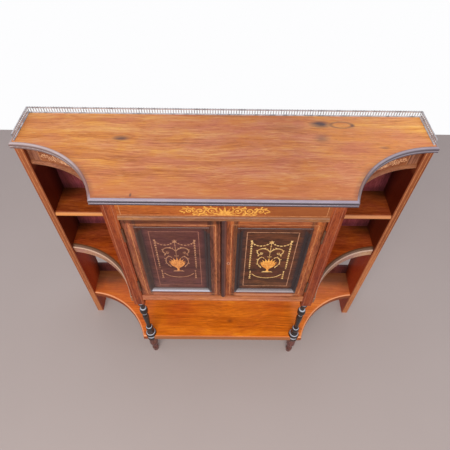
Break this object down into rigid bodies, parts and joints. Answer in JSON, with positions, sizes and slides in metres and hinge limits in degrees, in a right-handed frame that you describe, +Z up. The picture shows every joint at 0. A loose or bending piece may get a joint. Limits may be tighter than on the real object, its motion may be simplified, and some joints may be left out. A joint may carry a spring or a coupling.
{
  "type": "sideboard",
  "caption": "Inlaid side cabinet with a spindle gallery, a cupboard with hinged doors, concave open wings, turned front legs and an undershelf.",
  "frame": {"origin": "on the floor, below the middle of the cabinet's bounding box", "axes": "+X to the right of someone who faces the doors, +Y to the back, +Z up"},
  "size_m": [1.07, 0.318, 0.9256],
  "materials": {
    "rosewood": "satin, waxed",
    "top_wood": "satin, waxed",
    "shelf_wood": "satin, waxed",
    "panel_wood": "polished, with inlay",
    "ebonised_wood": "polished",
    "foot_wood": "satin",
    "bead_wood": "satin",
    "back_wood": "stained, matt",
    "inner_wood": "matt",
    "brass": "aged"
  },
  "bodies": {
    "carcass": {"top_board": "top_wood", "top_edge_moulding": "ebonised_wood", "gallery_back": "brass", "gallery_left": "brass", "gallery_right": "brass", "frieze_rail": "rosewood", "frieze_bead": "bead_wood", "left_curved_frieze": "rosewood", "right_curved_frieze": "rosewood", "left_curved_bead": "bead_wood", "right_curved_bead": "bead_wood", "left_end_panel": "rosewood", "right_end_panel": "rosewood", "left_cupboard_side": "rosewood", "right_cupboard_side": "rosewood", "left_front_stile": "rosewood", "right_front_stile": "rosewood", "left_front_leg": "ebonised_wood", "right_front_leg": "ebonised_wood", "left_front_foot": "foot_wood", "right_front_foot": "foot_wood", "centre_back_board": "back_wood", "left_wing_back": "back_wood", "right_wing_back": "back_wood", "cupboard_floor": "inner_wood", "base_rail": "rosewood", "door_stops": "inner_wood", "left_middle_shelf": "shelf_wood", "right_middle_shelf": "shelf_wood", "left_middle_edge": "bead_wood", "right_middle_edge": "bead_wood", "left_upper_shelf": "shelf_wood", "right_upper_shelf": "shelf_wood", "lower_shelf": "shelf_wood", "lower_back_rail": "back_wood", "loose_shelf": "shelf_wood", "shelf_bearers": "inner_wood", "left_hinge_frame_leaves": "brass", "right_hinge_frame_leaves": "brass", "left_hinge_pins": "brass", "right_hinge_pins": "brass", "bolt_keeper": "inner_wood"},
    "left_door": {"left_door_stiles": "rosewood", "left_door_rails": "rosewood", "left_door_panel": "panel_wood", "left_door_moulding": "ebonised_wood", "left_door_hinge_leaves": "brass", "lock_strike": "brass", "bolt_guides": "brass"},
    "right_door": {"right_door_stiles": "rosewood", "right_door_rails": "rosewood", "right_door_panel": "panel_wood", "right_door_moulding": "ebonised_wood", "right_door_hinge_leaves": "brass", "right_door_astragal": "ebonised_wood", "keyhole_plate": "brass", "lock_case": "brass"},
    "lock_bolt": {"lock_bolt": "brass"},
    "top_bolt": {"top_bolt": "brass"},
    "bottom_bolt": {"bottom_bolt": "brass"}
  },
  "joints": [
    {"name": "left_door_hinge", "type": "hinge", "parent": "carcass", "child": "left_door", "pos_m": [-0.2475, -0.145, 0.64], "axis": [0, 0, -1], "range_deg": [0, 110]},
    {"name": "right_door_hinge", "type": "hinge", "parent": "carcass", "child": "right_door", "pos_m": [0.2475, -0.145, 0.64], "axis": [0, 0, 1], "range_deg": [0, 110]},
    {"name": "lock_bolt_slide", "type": "slide", "parent": "right_door", "child": "lock_bolt", "axis": [-1, 0, 0], "range_m": [0, 0.009]},
    {"name": "top_bolt_slide", "type": "slide", "parent": "left_door", "child": "top_bolt", "axis": [0, 0, 1], "range_m": [0, 0.01]},
    {"name": "bottom_bolt_slide", "type": "slide", "parent": "left_door", "child": "bottom_bolt", "axis": [0, 0, -1], "range_m": [0, 0.01]}
  ]
}
